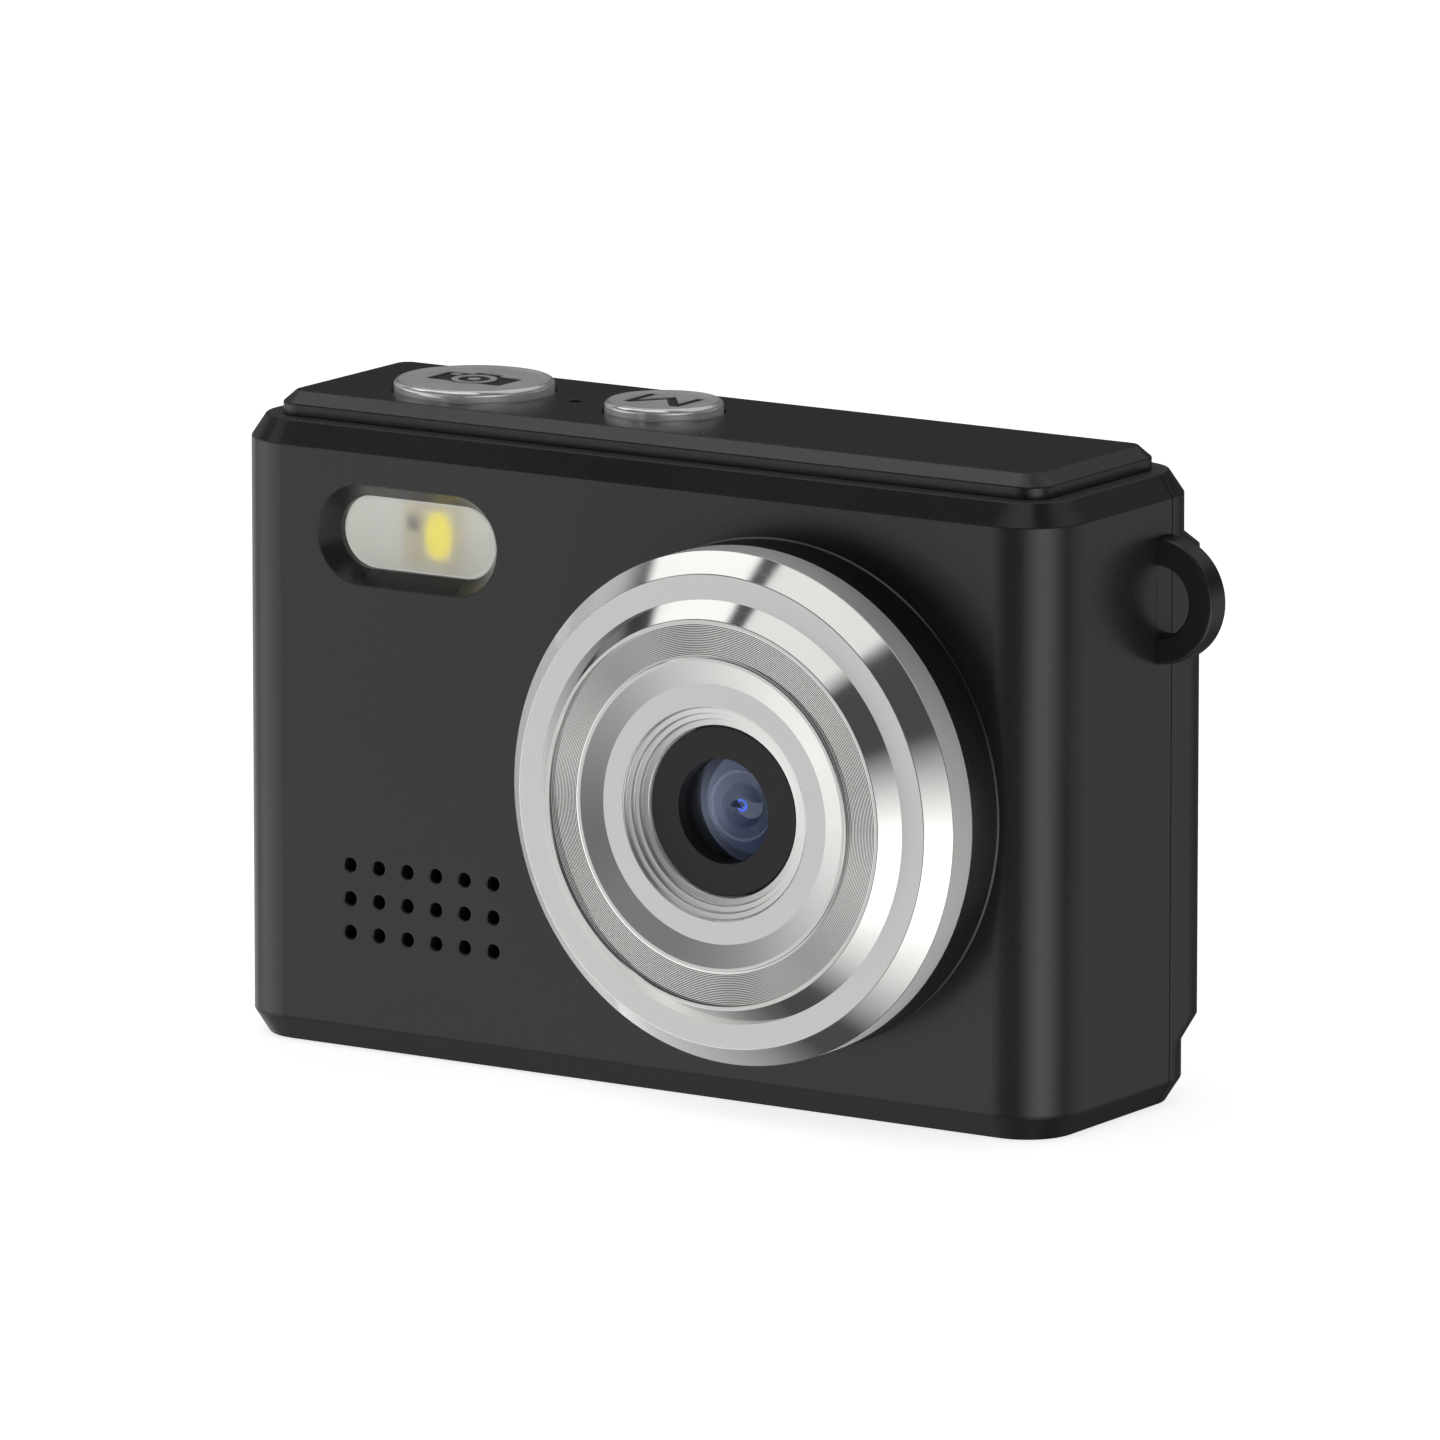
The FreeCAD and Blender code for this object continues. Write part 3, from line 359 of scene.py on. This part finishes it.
def inner_glass():
    """Dark inner element with a painted blue reflection: a small ring round the axis that is
    metallic and glows faintly.
    """
    ring_start, ring_end = mm(0.18, 0.32), mm(0.40, 0.54)

    made, n, shader = material("inner_glass")
    place = n.place()
    x, y, z = n.from_lens(place)
    # painted reflection: a blue ring round the axis, metallic and with a faint blue glow
    ring = n.between(n.length(X=x, Z=z), ring_start, ring_end, True)
    cloud = n.noise(place, 2500, 2)
    tone = n.blend(ring, (0.004, 0.005, 0.012, 1), (0.07, 0.17, 0.85, 1))
    n.fill(shader, Base_Color=tone, Metallic=ring, IOR=1.8,
           Roughness=n.remap(cloud, 0.5, 0.8, 0.06, 0.12),
           Emission_Color=(0.05, 0.12, 1.0, 1),
           Emission_Strength=n.math("MULTIPLY", ring, 0.05))
    return made


def filter_glass():
    """Blue-green absorbing glass in front of the sensor."""
    made, n, shader = material("filter_glass")
    dust = n.noise(n.place(), 2500, 2)
    n.fill(shader, Base_Color=(0.6, 0.9, 0.85, 1), IOR=1.5, Transmission_Weight=1.0,
           Roughness=n.remap(dust, 0.6, 0.8, 0.02, 0.06))
    return made


def aperture_plate():
    """Black plate whose outer edge is bare metal."""
    made, n, shader = material("aperture_plate")
    place = n.place()
    x, y, z = n.from_lens(place)
    edge = n.remap(n.length(X=x, Z=z), *mm(2.44, 2.50), 0, 1)
    cloud = n.noise(place, 1200)
    n.fill(shader, Roughness=n.remap(cloud, 0.3, 0.7, 0.35, 0.5),
           Base_Color=n.blend(edge, grey(0.004), n.blend(cloud, grey(0.4), grey(0.6))))
    return made


# ---- flash ------------------------------------------------------------------
def frosted():
    """Frosted clear acrylic of the flash window, with a milky rounded edge that glows as a
    painted highlight.
    """
    made, n, shader = material("frosted_acrylic")
    place = n.place()
    cloud = n.noise(place, 700)
    texture = n.noise(place, 3800, 2)
    flat = n.remap(n.math("ABSOLUTE", n.normal()[1]), 0.80, 0.97, 0, 1, True)
    gloss = n.math("ADD", n.remap(flat, 0, 1, 0.2, 0.56), n.remap(cloud, 0.3, 0.7, 0.0, 0.06))
    # painted highlight: the rounded edge glows, emission up to 0.22, fading out on the flat face
    n.fill(shader, Base_Color=n.blend(cloud, (0.95, 0.95, 0.93, 1), (0.99, 0.99, 0.98, 1)),
           Roughness=gloss, IOR=1.49, Transmission_Weight=n.remap(flat, 0, 1, 0.1, 0.93),
           Emission_Color=(1, 1, 0.98, 1), Emission_Strength=n.remap(flat, 0, 0.8, 0.22, 0),
           Normal=n.bump(texture, 0.000002))
    return made


def phosphor():
    """Yellow phosphor that thins out to the pale package towards its corners, and glows with
    painted light, strongest in the middle.
    """
    low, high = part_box("flash_phosphor")
    half = (high - low) / 2

    made, n, shader = material("phosphor")
    place = n.place()
    offset = n.vector("SUBTRACT", place, low + half)
    x, y, z = n.parts(n.vector("DIVIDE", offset, half))
    dense = n.remap(n.length(X=x, Z=z), 0.85, 1.15, 1, 0, True)
    cloud = n.noise(place, 2600, 4)
    tone = n.blend(n.remap(cloud, 0.35, 0.65, 0, 1), (0.80, 0.68, 0.03, 1), (0.95, 0.84, 0.07, 1))
    # painted light: phosphor and package glow, emission 0.22 at the corners rising to 0.60 in the
    # middle
    n.fill(shader, Base_Color=n.blend(dense, (0.80, 0.75, 0.55, 1), tone), Roughness=0.6,
           Emission_Color=n.blend(dense, (0.9, 0.85, 0.6, 1), (1.0, 0.84, 0.0, 1)),
           Emission_Strength=n.remap(dense, 0, 1, 0.22, 0.60))
    return made


# ---- electronics ------------------------------------------------------------
def circuit_board():
    """Green solder mask over copper tracks, with pads."""
    made, n, shader = material("circuit_board")
    place = n.place()
    tracks = n.add("TexBrick", {"offset": 0.37, "squash": 0.6}, Vector=place, Scale=260,
                   Mortar_Size=0.035).outputs["Fac"]
    cells = n.add("TexVoronoi", Vector=place, Scale=900).outputs["Distance"]
    pad = n.remap(cells, 0.16, 0.2, 1, 0)
    mask = n.blend(tracks, (0.008, 0.075, 0.035, 1), (0.02, 0.16, 0.08, 1))
    n.fill(shader, Base_Color=n.blend(pad, mask, (0.75, 0.6, 0.3, 1)),
           Metallic=n.math("MULTIPLY", pad, 0.9),
           Roughness=n.remap(n.noise(place, 300), 0.3, 0.7, 0.3, 0.42),
           Normal=n.bump(tracks, 0.00003))
    return made


def insulated_wires():
    """Pairs of leads 1.8 mm apart: the upper one of each is red, the lower black."""
    lift, reach = mm(0.9, 0.85)

    made, n, shader = material("insulated_wires")
    place = n.place()
    z = n.parts(place)[2]
    red = 0.0
    for node in ("flash_leads", "speaker_leads", "battery_leads"):
        upper = middle(node).z + lift
        near = n.math("LESS_THAN", n.math("ABSOLUTE", n.math("SUBTRACT", z, upper)), reach)
        red = n.math("MAXIMUM", red, near)
    cloud = n.noise(place, 1500)
    n.fill(shader, Base_Color=n.blend(red, grey(0.02), (0.5, 0.02, 0.02, 1)),
           Roughness=n.remap(cloud, 0.3, 0.7, 0.32, 0.48), Normal=n.bump(cloud, 0.00001))
    return made


def display_cover():
    """Clear acrylic with a black mask printed round the view area."""
    half_width, half_height = mm(20.6, 15.4)
    panel = middle("display_panel")

    made, n, shader = material("display_cover")
    place = n.place()
    x, y, z = n.parts(place)
    in_width = n.math("LESS_THAN", n.math("ABSOLUTE", n.math("SUBTRACT", x, panel.x)), half_width)
    in_height = n.math("LESS_THAN", n.math("ABSOLUTE", n.math("SUBTRACT", z, panel.z)),
                       half_height)
    clear = n.math("MULTIPLY", in_width, in_height)
    smear = n.noise(place, 120, 4)
    n.fill(shader, Base_Color=n.blend(clear, grey(0.006), grey(0.75)),
           Transmission_Weight=n.math("MULTIPLY", clear, 0.99),
           Roughness=n.remap(smear, 0.3, 0.8, 0.03, 0.1), IOR=1.49)
    return made


def build_materials():
    """One material for each material slot in the record, and one for the LED's package."""
    return {
        "case_plastic": case_plastic(),
        "sleeve_plastic": moulded("satin_black_sleeve", (0.012, 0.012, 0.0125), 0.26, IOR=1.6),
        "satin_aluminium": turned_aluminium(),
        "disc_black": moulded("matt_black_disc", (0.0125, 0.0125, 0.013), 0.5, grain=0.000008),
        "inner_black": moulded("inner_black", (0.006, 0.006, 0.006), 0.6),
        "aperture_plate": aperture_plate(),
        "coated_glass": coated_glass(),
        "inner_glass": inner_glass(),
        "filter_glass": filter_glass(),
        "sensor_silicon": metal("sensor_silicon", (0.25, 0.28, 0.36), 0.15),
        "diffuser": frosted(),
        # painted light: the white plastic glows faintly, emission 0.16
        "white_plastic": moulded("white_plastic", (0.88, 0.88, 0.86), 0.45,
                                 Emission_Color=(0.9, 0.91, 0.88, 1), Emission_Strength=0.16),
        "phosphor": phosphor(),
        # painted light: the LED package glows faintly, emission 0.13
        "led_base": moulded("led_base", (0.68, 0.60, 0.40), 0.4,
                            Emission_Color=(0.9, 0.82, 0.6, 1), Emission_Strength=0.13),
        "chip_black": moulded("chip_epoxy", (0.02, 0.02, 0.021), 0.5, grain=0.00001),
        "circuit_board": circuit_board(),
        "flex_film": moulded("polyimide", (0.5, 0.24, 0.05), 0.3),
        "connector_plastic": moulded("cream_nylon", (0.72, 0.69, 0.6), 0.45),
        "speaker_housing": moulded("speaker_housing", (0.03, 0.03, 0.03), 0.45),
        "speaker_film": moulded("speaker_film", (0.1, 0.1, 0.105), 0.3),
        "foam": moulded("foam", (0.03, 0.03, 0.03), 0.9, grain=0.00003, grain_scale=2500),
        "wire_red_black": insulated_wires(),
        "mic_can": metal("mic_can", (0.75, 0.62, 0.36), 0.3),
        "battery_pouch": metal("battery_pouch", (0.6, 0.61, 0.63), 0.35),
        "display_cover": display_cover(),
        "display_dark": moulded("display_dark", (0.006, 0.0065, 0.009), 0.2),
        "socket_steel": metal("socket_steel", (0.62, 0.62, 0.62), 0.28, streak=(60, 900, 60)),
        "screw_steel": metal("screw_steel", (0.12, 0.12, 0.125), 0.35),
        "button_silver": plated(),
        "stem_plastic": moulded("black_nylon", (0.04, 0.04, 0.04), 0.5),
        "key_plastic": key_plastic(),
    }


def dress_cad():
    finishes = build_materials()
    for part in frame["record"]["subparts"]:
        node = frame["nodes"][part["node"]]
        slot = "led_base" if part["node"] == "flash_led" else part["material_slot"]
        node.data.materials.clear()
        node.data.materials.append(finishes[slot])


def clear_lens_view():
    """The black surround does not darken reflections in the lens."""
    for name in ("lens_front_disc", "lens_barrel"):
        frame["nodes"][name].visible_glossy = False


# ---- light and floor --------------------------------------------------------
# Soft boxes: (azimuth from, to), (falloff below, above), (elevation from, to),
# (falloff below, above), strength. Azimuth 0 is in front of the lens and 90 to the right
# of it; all angles are in degrees.
SOFTBOXES = [
    ((50, 64), (32, 36), (-30, -20), (58, 42), 1.60),        # tall light on the right
    ((-78, -52), (28, 44), (-30, -15), (50, 40), 1.15),      # tall light on the left
    ((-25, 25), (20, 20), (-60, -22), (25, 12), 0.20),       # floor glow in front
    ((-15, -6), (4, 4), (6, 12), (3, 3), 0.45),              # small reflector in front
    ((-47, 42), (4, 4), (54, 91), (7, 1), 0.80),             # overhead
    ((-97, -64), (4, 4), (36, 91), (3, 1), 1.05),            # overhead on the left
    ((-130, -112), (9, 14), (-28, -10), (62, 14), 0.62),     # rear left
    ((-118, -100), (6, 3), (10, 34), (10, 1), 0.24),         # rear left, above that
    ((118, 150), (24, 16), (-30, -4), (30, 14), 0.30),       # rear right
    ((100, 180), (20, 1), (40, 91), (20, 1), 0.45),          # high at the back, right half
    ((-180, -130), (1, 16), (46, 91), (20, 1), 0.45),        # high at the back, left half
]
ROOM_LIGHT = 0.07
FLOOR_HALF = 6.0
FLOOR_GLOW = 0.78


def soft_span(n, angle, span, soft):
    """1 inside the span of degrees, falling to 0 over the soft widths outside it."""
    low, high = (math.radians(value) for value in span)
    below, above = (math.radians(value) for value in soft)
    return n.between(angle, (low - below, low), (high, high + above))


def studio():
    """Soft boxes in a dim room, as patches of the world's sky."""
    world = bpy.data.worlds.new("studio")
    world.use_nodes = True
    scene.world = world
    n = Nodes(world.node_tree)
    x, y, z = n.parts(n.add("TexCoord").outputs["Generated"])
    azimuth = n.math("ARCTAN2", x, n.math("MULTIPLY", y, -1))
    elevation = n.math("ARCSINE", z)
    total = ROOM_LIGHT
    for across, across_soft, height, height_soft, strength in SOFTBOXES:
        patch = n.math("MULTIPLY", soft_span(n, azimuth, across, across_soft),
                       soft_span(n, elevation, height, height_soft))
        total = n.math("ADD", total, n.math("MULTIPLY", patch, strength))
    sky = n.add("Background", Color=(1, 0.995, 0.985, 1), Strength=total)
    n.add("OutputWorld", Surface=sky.outputs[0])


def floor():
    """Pale paper that gives off a little light and stays out of reflections."""
    near, far = -FLOOR_HALF, FLOOR_HALF
    corners = [(near, near, 0), (far, near, 0), (far, far, 0), (near, far, 0)]
    mesh = bpy.data.meshes.new("floor")
    mesh.from_pydata(corners, [], [(0, 1, 2, 3)])
    plate = bpy.data.objects.new("floor", mesh)
    scene.collection.objects.link(plate)
    made, n, shader = material("floor_paper")
    fibre = n.noise(n.place(), 300, 4)
    n.fill(shader, Base_Color=n.blend(fibre, grey(0.86), grey(0.9)), Roughness=0.9,
           Emission_Color=(1, 1, 1, 1), Emission_Strength=FLOOR_GLOW)
    plate.data.materials.append(made)
    plate.visible_glossy = False


scene.view_settings.view_transform = "Standard"
add_camera()
studio()
floor()
dress_cad()
clear_lens_view()
